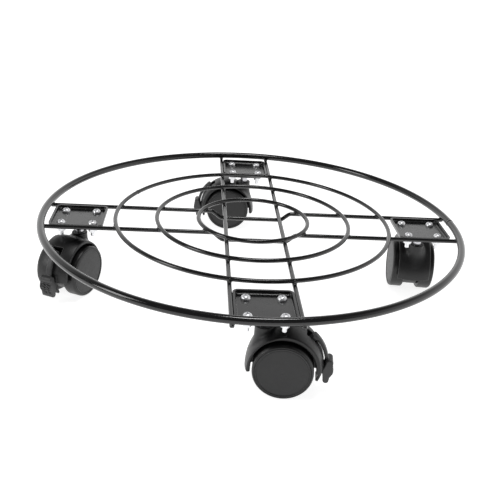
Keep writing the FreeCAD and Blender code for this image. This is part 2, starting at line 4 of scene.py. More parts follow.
import bpy
import bmesh
import numpy as np
from mathutils import Matrix, Vector


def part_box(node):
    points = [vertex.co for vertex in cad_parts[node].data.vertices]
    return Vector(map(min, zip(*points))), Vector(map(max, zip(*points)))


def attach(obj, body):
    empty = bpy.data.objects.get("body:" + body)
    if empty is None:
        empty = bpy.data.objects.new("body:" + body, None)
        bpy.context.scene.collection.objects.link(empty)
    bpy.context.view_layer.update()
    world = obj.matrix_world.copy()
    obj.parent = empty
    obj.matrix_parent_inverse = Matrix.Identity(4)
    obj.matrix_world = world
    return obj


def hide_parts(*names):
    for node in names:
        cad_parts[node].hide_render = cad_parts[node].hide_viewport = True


# Round wire plant caddy on four braked twin-wheel casters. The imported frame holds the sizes,
# places and joints; this script makes the looks: welded wire, moulded hoods, wheels and levers.

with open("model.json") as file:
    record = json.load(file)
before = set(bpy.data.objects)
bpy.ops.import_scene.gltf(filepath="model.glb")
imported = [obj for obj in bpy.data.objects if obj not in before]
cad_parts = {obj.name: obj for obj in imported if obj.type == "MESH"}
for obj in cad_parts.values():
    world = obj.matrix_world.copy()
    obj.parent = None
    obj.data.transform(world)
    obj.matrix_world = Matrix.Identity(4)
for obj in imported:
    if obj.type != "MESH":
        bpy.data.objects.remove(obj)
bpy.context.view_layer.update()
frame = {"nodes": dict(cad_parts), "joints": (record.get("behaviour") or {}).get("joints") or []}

MM = 0.001
CASTERS = ("front", "left", "rear", "right")
NODES = frame["nodes"]
JOINTS = {joint["name"]: joint for joint in frame["joints"]}


# ---------------------------------------------------------------- materials

def new_material(name):
    """Empty material with a principled shader; returns the material, its nodes and the shader."""
    material = bpy.data.materials.new(name)
    material.use_nodes = True
    tree = material.node_tree
    shader = next(node for node in tree.nodes if node.type == "BSDF_PRINCIPLED")
    return material, tree, shader


def noise(tree, coordinates, scale, detail=3.0, roughness=0.55):
    """Noise factor at some coordinates."""
    node = tree.nodes.new("ShaderNodeTexNoise")
    node.inputs["Scale"].default_value = scale
    node.inputs["Detail"].default_value = detail
    node.inputs["Roughness"].default_value = roughness
    tree.links.new(coordinates, node.inputs["Vector"])
    return node.outputs["Fac"]


def ramp(tree, factor, low, high, dark, light):
    """Colour that goes from dark to light as the factor goes from low to high."""
    node = tree.nodes.new("ShaderNodeValToRGB")
    node.color_ramp.elements[0].position = low
    node.color_ramp.elements[0].color = (*dark, 1)
    node.color_ramp.elements[1].position = high
    node.color_ramp.elements[1].color = (*light, 1)
    tree.links.new(factor, node.inputs["Fac"])
    return node.outputs["Color"]


def spread(tree, factor, low, high):
    """Maps a noise factor onto the range low to high."""
    node = tree.nodes.new("ShaderNodeMapRange")
    node.inputs["From Min"].default_value = 0.3
    node.inputs["From Max"].default_value = 0.7
    node.inputs["To Min"].default_value = low
    node.inputs["To Max"].default_value = high
    tree.links.new(factor, node.inputs["Value"])
    return node.outputs["Result"]


def bump(tree, height, distance, strength, normal=None):
    """Normal raised by a height, on top of an earlier normal if one is given."""
    node = tree.nodes.new("ShaderNodeBump")
    node.inputs["Distance"].default_value = distance
    node.inputs["Strength"].default_value = strength
    tree.links.new(height, node.inputs["Height"])
    if normal is not None:
        tree.links.new(normal, node.inputs["Normal"])
    return node.outputs["Normal"]


def object_coordinates(tree):
    """Coordinates in metres that stay with the piece."""
    return tree.nodes.new("ShaderNodeTexCoord").outputs["Object"]


def coated(name, dark, light, roughness, peel):
    """Powder coat: orange peel at about a millimetre, uneven gloss and slightly uneven black."""
    material, tree, shader = new_material(name)
    place = object_coordinates(tree)
    patches = noise(tree, place, 60, 4)
    tree.links.new(ramp(tree, patches, 0.35, 0.7, dark, light), shader.inputs["Base Color"])
    uneven = spread(tree, noise(tree, place, 240, 3), *roughness)
    tree.links.new(uneven, shader.inputs["Roughness"])
    coarse = bump(tree, noise(tree, place, 900, 2), 0.00005, peel)
    fine = bump(tree, noise(tree, place, 3200, 2), 0.00001, peel, coarse)
    tree.links.new(fine, shader.inputs["Normal"])
    shader.inputs["Coat Weight"].default_value = 0.25
    shader.inputs["Coat Roughness"].default_value = 0.12
    return material


def moulded(name, dark, light, roughness, grain_scale, grain):
    """Moulded nylon: fine spark-eroded grain, faint flow patches and uneven sheen."""
    material, tree, shader = new_material(name)
    place = object_coordinates(tree)
    flow = noise(tree, place, 45, 5, 0.6)
    tree.links.new(ramp(tree, flow, 0.3, 0.75, dark, light), shader.inputs["Base Color"])
    uneven = spread(tree, noise(tree, place, 400, 4), *roughness)
    tree.links.new(uneven, shader.inputs["Roughness"])
    grain_height = bump(tree, noise(tree, place, grain_scale, 3, 0.7), 0.00003, grain)
    tree.links.new(grain_height, shader.inputs["Normal"])
    return material


def plated(name, dark, light, roughness, scratch):
    """Bright plated steel: soft cloudy tone, fine scratches and uneven polish."""
    material, tree, shader = new_material(name)
    place = object_coordinates(tree)
    cloud = noise(tree, place, 700, 4)
    tree.links.new(ramp(tree, cloud, 0.35, 0.7, dark, light), shader.inputs["Base Color"])
    uneven = spread(tree, noise(tree, place, 2500, 3), *roughness)
    tree.links.new(uneven, shader.inputs["Roughness"])
    stretch = tree.nodes.new("ShaderNodeMapping")
    stretch.inputs["Scale"].default_value = (1.0, 1.0, 8.0)
    tree.links.new(place, stretch.inputs["Vector"])
    lines = noise(tree, stretch.outputs["Vector"], 1500, 2)
    tree.links.new(bump(tree, lines, 0.00002, scratch), shader.inputs["Normal"])
    shader.inputs["Metallic"].default_value = 1.0
    return material


COAT = coated("black_powder_coat", (0.003, 0.003, 0.0034), (0.006, 0.006, 0.0064),
              roughness=(0.1, 0.18), peel=0.06)
PRESSED = coated("black_coated_sheet", (0.006, 0.006, 0.0065), (0.011, 0.011, 0.0115),
                 roughness=(0.2, 0.28), peel=0.12)
PLATE = coated("black_plate", (0.006, 0.006, 0.0065), (0.01, 0.01, 0.0105),
               roughness=(0.3, 0.4), peel=0.2)
HOOD = moulded("black_nylon", (0.005, 0.005, 0.0054), (0.009, 0.009, 0.0094),
               roughness=(0.36, 0.46), grain_scale=2600, grain=0.2)
# the lever is the hood's black nylon with a lighter base colour: a painted sheen for the light
# from the left catching the lever
LEVER_PAINTED_SHEEN = moulded("black_nylon_lever_painted_sheen", (0.03, 0.03, 0.0305), (0.04, 0.04, 0.0405),
                roughness=(0.38, 0.48), grain_scale=2600, grain=0.2)
TREAD = moulded("black_tread", (0.003, 0.003, 0.0032), (0.005, 0.005, 0.0053),
                roughness=(0.32, 0.42), grain_scale=1800, grain=0.2)
DISC = moulded("charcoal_nylon", (0.007, 0.007, 0.0074), (0.011, 0.011, 0.0115),
               roughness=(0.4, 0.5), grain_scale=3200, grain=0.25)
ZINC = plated("bright_zinc", (0.82, 0.83, 0.85), (0.95, 0.95, 0.96),
              roughness=(0.36, 0.5), scratch=0.3)
STEEL = plated("turned_steel", (0.5, 0.5, 0.52), (0.66, 0.66, 0.68),
               roughness=(0.24, 0.38), scratch=0.5)


# ---------------------------------------------------------------- mesh helpers

TINY = 1e-9
PULLS_TO_SURFACE = 3
CORNER_STEPS = 4


def finish_piece(name, mesh, material, body, replaced=(), place=None):
    """Makes a mesh a named piece that rides on a body and may stand for CAD nodes."""
    piece = bpy.data.objects.new(name, mesh)
    bpy.context.scene.collection.objects.link(piece)
    if place is not None:
        piece.matrix_world = place
    if not mesh.materials:
        mesh.materials.append(material)
    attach(piece, body)
    if replaced:
        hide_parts(*replaced)


def mesh_from(name, vertices, faces):
    """Smooth-shaded mesh of points in metres."""
    mesh = bpy.data.meshes.new(name)
    mesh.from_pydata([tuple(v) for v in vertices], [], [tuple(f) for f in faces])
    mesh.validate()
    mesh.polygons.foreach_set("use_smooth", [True] * len(mesh.polygons))
    mesh.update()
    return mesh


def surface_of(name, field, low, high, step):
    """Closed mesh of a solid given by a distance field in millimetres, by surface nets."""
    axes = [np.arange(a, b + step, step) for a, b in zip(low, high)]
    value = field(*np.meshgrid(*axes, indexing="ij"))
    shape = np.array(value.shape)
    total = np.zeros((*(shape - 1), 3))
    count = np.zeros(shape - 1)
    crossings = []
    # a grid edge that crosses the surface adds its point to the four cells round it
    for axis in range(3):
        first = np.moveaxis(value, axis, 0)[:-1]
        second = np.moveaxis(value, axis, 0)[1:]
        crossed = np.moveaxis((first < 0) != (second < 0), 0, axis)
        at = np.argwhere(crossed)
        here = value[tuple(at.T)]
        ahead_index = at.copy()
        ahead_index[:, axis] += 1
        ahead = value[tuple(ahead_index.T)]
        point = at.astype(float)
        point[:, axis] += here / (here - ahead)
        b, c = (axis + 1) % 3, (axis + 2) % 3
        inner = np.all((at[:, [b, c]] > 0) & (at[:, [b, c]] < shape[[b, c]] - 1), axis=1)
        at, point, here = at[inner], point[inner], here[inner]
        ring = []
        for step_b, step_c in ((0, 0), (-1, 0), (-1, -1), (0, -1)):
            cell = at.copy()
            cell[:, b] += step_b
            cell[:, c] += step_c
            np.add.at(total, tuple(cell.T), point)
            np.add.at(count, tuple(cell.T), 1)
            ring.append(cell)
        crossings.append((ring, here < 0))
    used = count > 0
    index = np.full(used.shape, -1)
    index[used] = np.arange(used.sum())
    grid_points = total[used] / count[used][:, None]
    points = grid_points * step + np.array(low)
    for _ in range(PULLS_TO_SURFACE):
        points = pulled_to_surface(points, field, step)
    # and becomes one face between them
    faces = []
    for ring, outward in crossings:
        quad = np.stack([index[tuple(cell.T)] for cell in ring], axis=1)
        quad[~outward] = quad[~outward][:, ::-1]
        faces.append(quad)
    return mesh_from(name, points * MM, np.concatenate(faces).tolist())


def pulled_to_surface(points, field, step):
    """Moves points onto the zero surface of a distance field, by at most half a cell."""
    probe = 0.05 * step
    distance = field(*points.T)
    slope = np.empty_like(points)
    for axis in range(3):
        shifted = points.copy()
        shifted[:, axis] += probe
        slope[:, axis] = (field(*shifted.T) - distance) / probe
    size = np.maximum(np.linalg.norm(slope, axis=1), 0.2)
    travel = np.clip(distance / size, -0.5 * step, 0.5 * step)
    return points - slope / size[:, None] * travel[:, None]


def smooth_step(t):
    """Smooth rise from 0 at 0 to 1 at 1."""
    t = np.clip(t, 0, 1)
    return t * t * (3 - 2 * t)


def join(a, b, radius):
    """Smooth union of two distance fields."""
    mix = np.clip(0.5 + 0.5 * (b - a) / radius, 0, 1)
    return b + (a - b) * mix - radius * mix * (1 - mix)


def both(a, b, radius):
    """Smooth intersection of two distance fields."""
    return -join(-a, -b, radius)


def without(a, b, radius):
    """Distance field a with b cut away, its new edges rounded."""
    return both(a, -b, radius)


def tube(name, centres, radii, closed, sides):
    """Round bar swept along points; each point has its own radius."""
    centres = np.asarray(centres, float)
    n = len(centres)
    if closed:
        tangent = np.roll(centres, -1, 0) - np.roll(centres, 1, 0)
    else:
        tangent = np.gradient(centres, axis=0)
    tangent /= np.linalg.norm(tangent, axis=1)[:, None]
    across = np.cross(tangent, np.array([0.0, 0.0, 1.0]))
    across /= np.linalg.norm(across, axis=1)[:, None]
    upward = np.cross(across, tangent)
    angles = np.arange(sides) * 2 * math.pi / sides
    cosines, sines = np.cos(angles)[None, :, None], np.sin(angles)[None, :, None]
    outward = cosines * across[:, None] + sines * upward[:, None]
    rings = centres[:, None] + np.asarray(radii)[:, None, None] * outward
    vertices = rings.reshape(-1, 3)
    faces = []
    for i in range(n if closed else n - 1):
        j = (i + 1) % n
        for k in range(sides):
            m = (k + 1) % sides
            faces.append((i * sides + k, j * sides + k, j * sides + m, i * sides + m))
    if not closed:
        faces.append(tuple(range(sides)))
        faces.append(tuple((n - 1) * sides + k for k in reversed(range(sides))))
    return mesh_from(name, vertices, faces)


def lathe(name, outline, sides):
    """Closed ring or disc turned about Z from an outline of (radius, height)."""
    builder = bmesh.new()
    rows = []
    for radius, height in outline:
        if radius < TINY:
            rows.append([builder.verts.new((0, 0, height))])
            continue
        row = []
        for k in range(sides):
            angle = 2 * math.pi * k / sides
            corner = (radius * math.cos(angle), radius * math.sin(angle), height)
            row.append(builder.verts.new(corner))
        rows.append(row)
    for first, second in zip(rows, rows[1:] + rows[:1]):
        for k in range(sides):
            m = (k + 1) % sides
            corners = [first[k % len(first)], second[k % len(second)],
                       second[m % len(second)], first[m % len(first)]]
            unique = []
            for corner in corners:
                if corner not in unique:
                    unique.append(corner)
            if len(unique) > 2:
                builder.faces.new(unique)
    bmesh.ops.recalc_face_normals(builder, faces=builder.faces)
    mesh = bpy.data.meshes.new(name)
    builder.to_mesh(mesh)
    builder.free()
    mesh.polygons.foreach_set("use_smooth", [True] * len(mesh.polygons))
    return mesh


def rounded_outline(points, radius):
    """Outline whose corners are replaced by small arcs; points on the axis stay."""
    result = []
    count = len(points)
    for i, point in enumerate(points):
        here = Vector(point)
        before = Vector(points[i - 1])
        after = Vector(points[(i + 1) % count])
        to_before, to_after = before - here, after - here
        if min(here.x, to_before.length, to_after.length) < TINY:
            result.append(tuple(here))
            continue
        reach = min(radius, 0.45 * to_before.length, 0.45 * to_after.length)
        start = here + to_before.normalized() * reach
        end = here + to_after.normalized() * reach
        for k in range(CORNER_STEPS + 1):
            t = k / CORNER_STEPS
            result.append(tuple(start * (1 - t) ** 2 + here * 2 * t * (1 - t) + end * t ** 2))
    return result


# ---------------------------------------------------------------- rings, wires and welds

RINGS = ("outer_ring", "large_ring", "middle_ring", "small_ring")
WIRES = ("left_cross_wire", "right_cross_wire", "front_cross_wire", "rear_cross_wire")
SEAM_DEGREES = (1.8, 152.0, 118.0, 102.0)
SEAM_FLASH = 0.25 * MM
RING_POINTS, RING_SIDES = 480, 32
WIRE_POINTS, WIRE_SIDES = 300, 24
# share of a cross wire's radius at a few distances from its sheared end, in wire radii
END_ROUNDING = ((0.0, 0.78), (0.06, 0.89), (0.18, 0.97), (0.4, 1.0))
# weld sizes in millimetres
WELD_REACH, WELD_FILLET, WELD_SKIN, WELD_STEP = 3.4, 2.6, 0.08, 0.3


def ring_sizes(node):
    """Centreline radius, wire radius and height of a ring's CAD node."""
    low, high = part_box(node)
    wire = (high.z - low.z) / 2
    return (high.x - low.x) / 2 - wire, wire, (high.z + low.z) / 2


def ring_piece(node, seam_degrees, flash):
    """Ring bent from one bar, with the low flash and the notch of its butt weld."""
    radius, wire, height = ring_sizes(node)
    # the bar is set in by the flash, so that the flash stays within the CAD ring's box
    radius, height = radius - flash, height - flash
    seam = math.radians(seam_degrees)
    crowding = 0.93
    centres, radii = [], []
    for i in range(RING_POINTS):
        # points crowd together round the seam, so that the flash has its shape
        turn = 2 * math.pi * i / RING_POINTS
        angle = seam + turn - crowding * math.sin(turn)
        from_seam = abs((angle - seam + math.pi) % (2 * math.pi) - math.pi) * radius
        swell = flash * math.exp(-(from_seam / (0.3 * wire)) ** 4)
        notch = 0.5 * flash * math.exp(-((from_seam - 0.6 * wire) / (0.2 * wire)) ** 2)
        centres.append((radius * math.cos(angle), radius * math.sin(angle), height))
        radii.append(wire + swell - notch)
    mesh = tube(node + "_bar", centres, radii, True, RING_SIDES)
    finish_piece(node + "_bar", mesh, COAT, "frame", [node])


def wire_sizes(node):
    """Whether a cross wire runs along X, its radius, half length, offset, and two heights."""
    low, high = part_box(node)
    along_x = high.x - low.x > high.y - low.y
    if along_x:
        wire, half, side = (high.y - low.y) / 2, (high.x - low.x) / 2, (high.y + low.y) / 2
    else:
        wire, half, side = (high.x - low.x) / 2, (high.y - low.y) / 2, (high.x + low.x) / 2
    return along_x, wire, half, side, high.z - wire, low.z + wire


def wire_piece(node):
    """Cross wire with sheared, slightly rounded ends and, on the lower pair, a joggle."""
    along_x, wire, half, side, top, bottom = wire_sizes(node)
    joggle_out, joggle_in = joggle_ends(node) if along_x else (0.0, 0.0)
    places = [(-half + reach * wire, share) for reach, share in END_ROUNDING]
    inner = half - 0.5 * wire
    places += [(t, 1.0) for t in np.linspace(-inner, inner, WIRE_POINTS)]
    places += [(half - reach * wire, share) for reach, share in reversed(END_ROUNDING)]
    centres, radii = [], []
    for t, share in places:
        drop = 0.0
        if along_x:
            share_down = smooth_step((joggle_out - abs(t)) / (joggle_out - joggle_in))
            drop = share_down * (top - bottom)
        height = top - drop
        centres.append((t, side, height) if along_x else (side, t, height))
        radii.append(wire * share)
    mesh = tube(node + "_bar", centres, radii, False, WIRE_SIDES)
    finish_piece(node + "_bar", mesh, COAT, "frame", [node])


def joggle_ends(node):
    """Where a joggled wire leaves its top height and where it reaches its low one."""
    low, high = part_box(node)
    wire = (high.y - low.y) / 2
    points = np.array([v.co for v in NODES[node].data.vertices])
    skin = 0.25 * wire
    underside = points[points[:, 2] < low.z + skin]
    topside = points[points[:, 2] > high.z - skin]
    return np.abs(topside[:, 0]).min(), np.abs(underside[:, 0]).max()


def weld_piece(name, first, second, place):
    """Weld that fills the corner between two touching bars near a point, in millimetres."""
    def field(x, y, z):
        away = np.sqrt((x - place[0]) ** 2 + (y - place[1]) ** 2 + (z - place[2]) ** 2)
        ripple = 0.05 * np.sin(3.1 * x + place[1]) * np.cos(2.7 * y + place[0])
        bead = join(first(x, y, z), second(x, y, z), WELD_FILLET) + WELD_SKIN + ripple
        return both(bead, away - WELD_REACH, 0.5)

    margin = WELD_REACH + 1
    low = [value - margin for value in place]
    high = [value + margin for value in place]
    mesh = surface_of(name, field, low, high, WELD_STEP)
    finish_piece(name, mesh, COAT, "frame")


def bar_field(along_x, side, height, wire):
    """Distance to a straight bar along X or Y."""
    if along_x:
        return lambda x, y, z: np.hypot(y - side, z - height) - wire
    return lambda x, y, z: np.hypot(x - side, z - height) - wire


def ring_field(radius, height, wire):
    """Distance to a ring about the object's axis."""
    return lambda x, y, z: np.hypot(np.hypot(x, y) - radius, z - height) - wire


def weld_rings(ring_nodes, wire_nodes):
    """One weld wherever a ring lies on a cross wire."""
    for ring_node in ring_nodes:
        radius, ring_wire, ring_height = (value / MM for value in ring_sizes(ring_node))
        for wire_node in wire_nodes:
            along_x, *sizes = wire_sizes(wire_node)
            wire, _, side, top, _ = (value / MM for value in sizes)
            far = math.sqrt(radius ** 2 - side ** 2)
            contact = top + wire
            for end, sign in (("a", -1), ("b", 1)):
                place = (sign * far, side, contact) if along_x else (side, sign * far, contact)
                weld_piece("%s_%s_weld_%s" % (ring_node, wire_node, end),
                           ring_field(radius, ring_height, ring_wire),
                           bar_field(along_x, side, top, wire), place)


for ring_node, seam_degrees in zip(RINGS, SEAM_DEGREES):
    ring_piece(ring_node, seam_degrees, SEAM_FLASH)
for wire_node in WIRES:
    wire_piece(wire_node)
weld_rings(RINGS, WIRES)


# ---------------------------------------------------------------- hood and lever

def caster_matrix(name):
    """Caster frame at rest: X trails towards the axle, Y along the axle, Z up, floor level."""
    swivel = Vector(JOINTS[name + "_swivel_turn"]["pos_m"])
    spin = JOINTS[name + "_inner_wheel_spin"]
    axle = Vector(spin["pos_m"])
    along = Vector(spin["axis"]).normalized()
    trailing = Vector((axle.x - swivel.x, axle.y - swivel.y, 0)).normalized()
    matrix = Matrix((trailing, along, (0, 0, 1))).transposed().to_4x4()
    matrix.translation = Vector((swivel.x, swivel.y, 0))
    return matrix


def caster_sizes():
    """Trail, axle height and lever pivot in millimetres, in the caster's own frame."""
    name = CASTERS[0]
    back = caster_matrix(name).inverted()
    axle = back @ Vector(JOINTS[name + "_inner_wheel_spin"]["pos_m"])
    pivot = back @ Vector(JOINTS[name + "_brake_lever_lift"]["pos_m"])
    return axle.x / MM, axle.z / MM, (pivot.x / MM, pivot.z / MM)


TRAIL, AXLE_HEIGHT, PIVOT = caster_sizes()
GRIP_RING_HEIGHT = (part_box("front_grip_ring")[0].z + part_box("front_grip_ring")[1].z) / 2 / MM

# Hood and lever in millimetres, in the caster's own frame. Radii and angles are about the axle,
# with 0 degrees level on the side away from the stem, and half widths are along the axle.
FENDER_INNER, FENDER_OUTER, FENDER_HALF_WIDTH = 26.1, 32.0, 16.0
WEB_RADIUS, WEB_TOP_RADIUS, WEB_HALF_WIDTH = 20.5, 27.2, 7.0
FROM_THE_AXLE = -1.0
NECK_RADIUS, NECK_FOOT, NECK_TOP, NECK_FLARE = 7.2, 36.0, 55.0, 5.0
WHEEL_ROOM_RADIUS = 25.6
SOCKET_RADIUS, SOCKET_FLOOR = 4.05, 42.5
GRIP_ROOM_RADIUS, GRIP_ROOM_HALF_HEIGHT = 5.3, 1.0
SLOT_ANGLES, SLOT_INNER, SLOT_OUTER, SLOT_HALF_WIDTH = (37.5, 59.0), 18.0, 40.0, 4.9
AXLE_BORE_RADIUS, PIN_BORE_RADIUS = 3.02, 1.55
BOSS_RADIUS, BOSS_HALF_WIDTH = 3.8, 3.5
ARM_INNER, ARM_OUTER, ARM_HALF_WIDTH = 32.8, 35.8, 2.8
# the pedal's places are across and up from the axle
PEDAL_TOP, PEDAL_TIP, PEDAL_HALF_WIDTH = (36.4, 2.8), (34.9, -13.0), 6.2
PEDAL_TOP_RADIUS, PEDAL_TIP_RADIUS = 3.2, 2.5
KNOB_CENTRE, KNOB_RADIUS = (35.8, -4.5), 4.5
RIB_DEPTH, RIB_PITCH, RIB_WAVE, RIB_WAVE_LENGTH = 0.45, 2.3, 0.6, 4.2
HOOD_STEP, LEVER_STEP = 0.5, 0.35


def polar_about_axle(x, z):
    """Radius and angle in degrees about the axle."""
    return np.hypot(x - TRAIL, z - AXLE_HEIGHT), np.degrees(np.arctan2(z - AXLE_HEIGHT, x - TRAIL))


def half_plane(x, z, degrees):
    """Signed distance to a line through the axle; negative on its counter-clockwise side."""
    turn = math.radians(degrees)
    return (x - TRAIL) * math.sin(turn) - (z - AXLE_HEIGHT) * math.cos(turn)


def sector_field(x, y, z, inner, outer, low_angle, high_angle, half_width, rounding):
    """Block between two radii and two angles (less than half a turn) about the axle."""
    r, _ = polar_about_axle(x, z)
    d = both(r - outer, inner - r, rounding)
    d = both(d, np.abs(y) - half_width, rounding)
    d = both(d, half_plane(x, z, low_angle), rounding)
    return both(d, -half_plane(x, z, high_angle), rounding)


def pin_bore_field(x, z):
    """Distance to the lever pin's hole."""
    return np.hypot(x - PIVOT[0], z - PIVOT[1]) - PIN_BORE_RADIUS


def hood_field(x, y, z):
    """Hood: crowned fenders, neck with a soft flare, middle web, tongue and slot."""
    r, angle = polar_about_axle(x, z)
    # from straight up over the stem side, the fender is flatter above and stands out at its tip
    stem_side = np.clip((np.where(angle < -90, angle + 360, angle) - 90) / 100, 0, 1)
    flatter = np.sin(math.pi * stem_side)
    top = FENDER_OUTER - 0.6 * smooth_step(stem_side * 4) - 2.2 * flatter
    crown = top - (2.4 - 0.8 * flatter) * (np.abs(y) / FENDER_HALF_WIDTH) ** 2.4
    sweep = np.minimum(half_plane(x, z, -4.0), -half_plane(x, z, 190.0))
    fender = both(r - crown, FENDER_INNER - r, 0.5)
    fender = both(fender, np.abs(y) - FENDER_HALF_WIDTH, 1.0)
    fender = both(fender, sweep, 1.2)
    web = both(r - WEB_RADIUS, np.abs(y) - WEB_HALF_WIDTH, 0.6)
    upper_web = sector_field(x, y, z, FROM_THE_AXLE, WEB_TOP_RADIUS, -3.0, 176.0,
                             WEB_HALF_WIDTH, 0.6)
    stem_web = sector_field(x, y, z, FROM_THE_AXLE, WEB_TOP_RADIUS, 90.0, 183.0,
                            WEB_HALF_WIDTH, 0.6)
    tongue = sector_field(x, y, z, 29.7, 31.9, -27.0, 10.0, 6.2, 0.6)
    from_swivel = np.hypot(x, y)
    neck = both(from_swivel - NECK_RADIUS, z - NECK_TOP, 0.6)
    neck = both(neck, NECK_FOOT - z, 0.6)
    body = join(fender, web, 0.6)
    body = join(body, upper_web, 0.8)
    body = join(body, stem_web, 0.8)
    body = join(body, tongue, 0.8)
    body = join(body, neck, NECK_FLARE)
    # the flare may not rise above the neck or reach into the wheels' room
    above_neck = both(from_swivel - 9.0, NECK_TOP - z, 0.3)
    body = without(body, above_neck, 0.3)
    wheel_room = both(r - WHEEL_ROOM_RADIUS, WEB_HALF_WIDTH - np.abs(y), 0.4)
    body = without(body, wheel_room, 0.4)
    socket = both(from_swivel - SOCKET_RADIUS, SOCKET_FLOOR - z, 0.2)
    from_grip_ring = np.abs(z - GRIP_RING_HEIGHT)
    ring_room = both(from_swivel - GRIP_ROOM_RADIUS, from_grip_ring - GRIP_ROOM_HALF_HEIGHT, 0.2)
    slot = sector_field(x, y, z, SLOT_INNER, SLOT_OUTER, *SLOT_ANGLES, SLOT_HALF_WIDTH, 0.5)
    body = without(body, socket, 0.4)
    body = without(body, ring_room, 0.2)
    body = without(body, slot, 0.7)
    bore = np.hypot(x - TRAIL, z - AXLE_HEIGHT) - AXLE_BORE_RADIUS
    return without(without(body, bore, 0.3), pin_bore_field(x, z), 0.2)


def capsule(u, v, start, end, start_radius, end_radius):
    """Distance to a tapered bar between two points of the side view."""
    du, dv = end[0] - start[0], end[1] - start[1]
    share = np.clip(((u - start[0]) * du + (v - start[1]) * dv) / (du * du + dv * dv), 0, 1)
    radius = start_radius + (end_radius - start_radius) * share
    return np.hypot(u - start[0] - share * du, v - start[1] - share * dv) - radius


def lever_field(x, y, z):
    """Brake lever: boss, curved arm out of the slot and a ribbed foot pedal."""
    boss_round = np.hypot(x - PIVOT[0], z - PIVOT[1]) - BOSS_RADIUS
    boss = both(boss_round, np.abs(y) - BOSS_HALF_WIDTH, 0.4)
    riser = sector_field(x, y, z, 20.5, 33.8, 43.0, 50.0, BOSS_HALF_WIDTH, 0.6)
    arm = sector_field(x, y, z, ARM_INNER, ARM_OUTER, 0.0, 50.0, ARM_HALF_WIDTH, 1.2)
    lever = join(join(boss, riser, 1.2), arm, 1.5)
    u, v = x - TRAIL, z - AXLE_HEIGHT
    # pedal: rounded bar from its top to its tip, thickened by a knob
    pedal = capsule(u, v, PEDAL_TOP, PEDAL_TIP, PEDAL_TOP_RADIUS, PEDAL_TIP_RADIUS)
    knob = np.hypot(u - KNOB_CENTRE[0], v - KNOB_CENTRE[1]) - KNOB_RADIUS
    pedal = join(pedal, knob, 3.0)
    pedal = both(pedal, np.abs(y) - PEDAL_HALF_WIDTH, 1.4)
    # wavy ribs across the pedal's outer face, fading out at its edges
    wave = RIB_WAVE * np.cos(y * 2 * math.pi / RIB_WAVE_LENGTH)
    ribs = RIB_DEPTH * np.cos((v + wave) * 2 * math.pi / RIB_PITCH)
    window = np.clip(3.0 - np.abs(v + 5.5) / 2.5, 0, 1) * np.clip(5.8 - np.abs(y), 0, 1)
    outer_face = np.clip((u - 35.4) / 1.2, 0, 1)
    pedal = pedal + (RIB_DEPTH - ribs) * window * outer_face
    lever = join(lever, pedal, 1.6)
    return without(lever, pin_bore_field(x, z), 0.2)


hood_mesh = surface_of("hood", hood_field, (-15, -18, 2), (51, 18, 66), HOOD_STEP)
lever_mesh = surface_of("lever", lever_field, (24, -8, 4), (61, 8, 64), LEVER_STEP)


# ---------------------------------------------------------------- wheels

WHEEL_SIDES = 144


def wheel_outlines():
    """Outlines of wheel and cover as (radius, place along the axle), in millimetres."""
    inner, outer, tread = 7.6, 20.8, AXLE_HEIGHT
    bore, hub, hub_end = 3.05, 6.5, 18.8
    rim_inner, rim_outer = 20.2, 22.3
    web_face, ledge = inner + 4.0, outer - 1.4
    wheel = [
        (bore, inner), (20.0, inner), (tread - 0.8, inner + 0.3), (tread, inner + 1.1),
        (tread, 13.9), (tread - 0.06, 14.05), (tread - 0.06, 14.35), (tread, 14.5),
        (tread, outer - 2.0), (tread - 0.35, outer - 0.9), (tread - 1.0, outer - 0.15),
        (23.0, outer), (rim_outer, outer), (rim_outer, ledge), (rim_inner, ledge),
        (rim_inner, web_face), (hub, web_face), (hub, hub_end), (bore, hub_end),
    ]
    cover = [
        (0, outer - 1.2), (19.0, outer - 1.2), (19.0, outer - 3.9), (rim_inner, outer - 3.9),
        (rim_inner, ledge), (22.2, ledge), (22.2, outer - 0.1), (22.0, outer + 0.2),
        (21.5, outer + 0.25), (21.1, outer + 0.15), (20.9, outer - 0.25), (20.4, outer - 0.25),
        (rim_inner, outer - 0.1), (1.1, outer - 0.05), (0.8, outer - 0.15), (0, outer - 0.15),
    ]
    return wheel, cover


def turned_mesh(name, outline, corner_radius):
    """Lathe mesh of an outline in millimetres, its corners rounded."""
    in_metres = [(r * MM, z * MM) for r, z in rounded_outline(outline, corner_radius)]
    return lathe(name, in_metres, WHEEL_SIDES)


wheel_outline, cover_outline = wheel_outlines()
wheel_mesh = turned_mesh("wheel", wheel_outline, 0.3)
cover_mesh = turned_mesh("cover", cover_outline, 0.15)


def build_caster(name):
    """Hood, lever, two wheels and two covers of one caster, each on its own body."""
    place = caster_matrix(name)
    swivel = name + "_swivel"
    finish_piece(name + "_hood_moulding", hood_mesh, HOOD, swivel,
                 [name + "_hood"], place)
    finish_piece(name + "_lever_moulding", lever_mesh, LEVER_PAINTED_SHEEN, name + "_brake_lever",
                 [name + "_brake_lever"], place)
    centre = Matrix.Translation((TRAIL * MM, 0, AXLE_HEIGHT * MM))
    for side_name, turn in (("inner", -90), ("outer", 90)):
        body = "%s_%s_wheel" % (name, side_name)
        lay = place @ centre @ Matrix.Rotation(math.radians(turn), 4, "X")
        finish_piece(body + "_moulding", wheel_mesh, TREAD, body,
                     [body], lay)
        finish_piece(body + "_disc", cover_mesh, DISC, body,
                     [body + "_cover"], lay)


for caster in CASTERS:
    build_caster(caster)


# ---------------------------------------------------------------- carried-over CAD nodes

def dress(node, material):
    """Gives a CAD node that stays visible its material."""
    mesh = NODES[node].data
    mesh.materials.clear()
    mesh.materials.append(material)


dress("tray_screws", ZINC)
dress("tray_nuts", ZINC)
for caster in CASTERS:
    dress(caster + "_tray", PRESSED)
    dress(caster + "_caster_plate", PLATE)
    for part in ("kingpin", "grip_ring", "axle", "lever_pin"):
        dress("%s_%s" % (caster, part), STEEL)


# ---------------------------------------------------------------- floor, light and camera

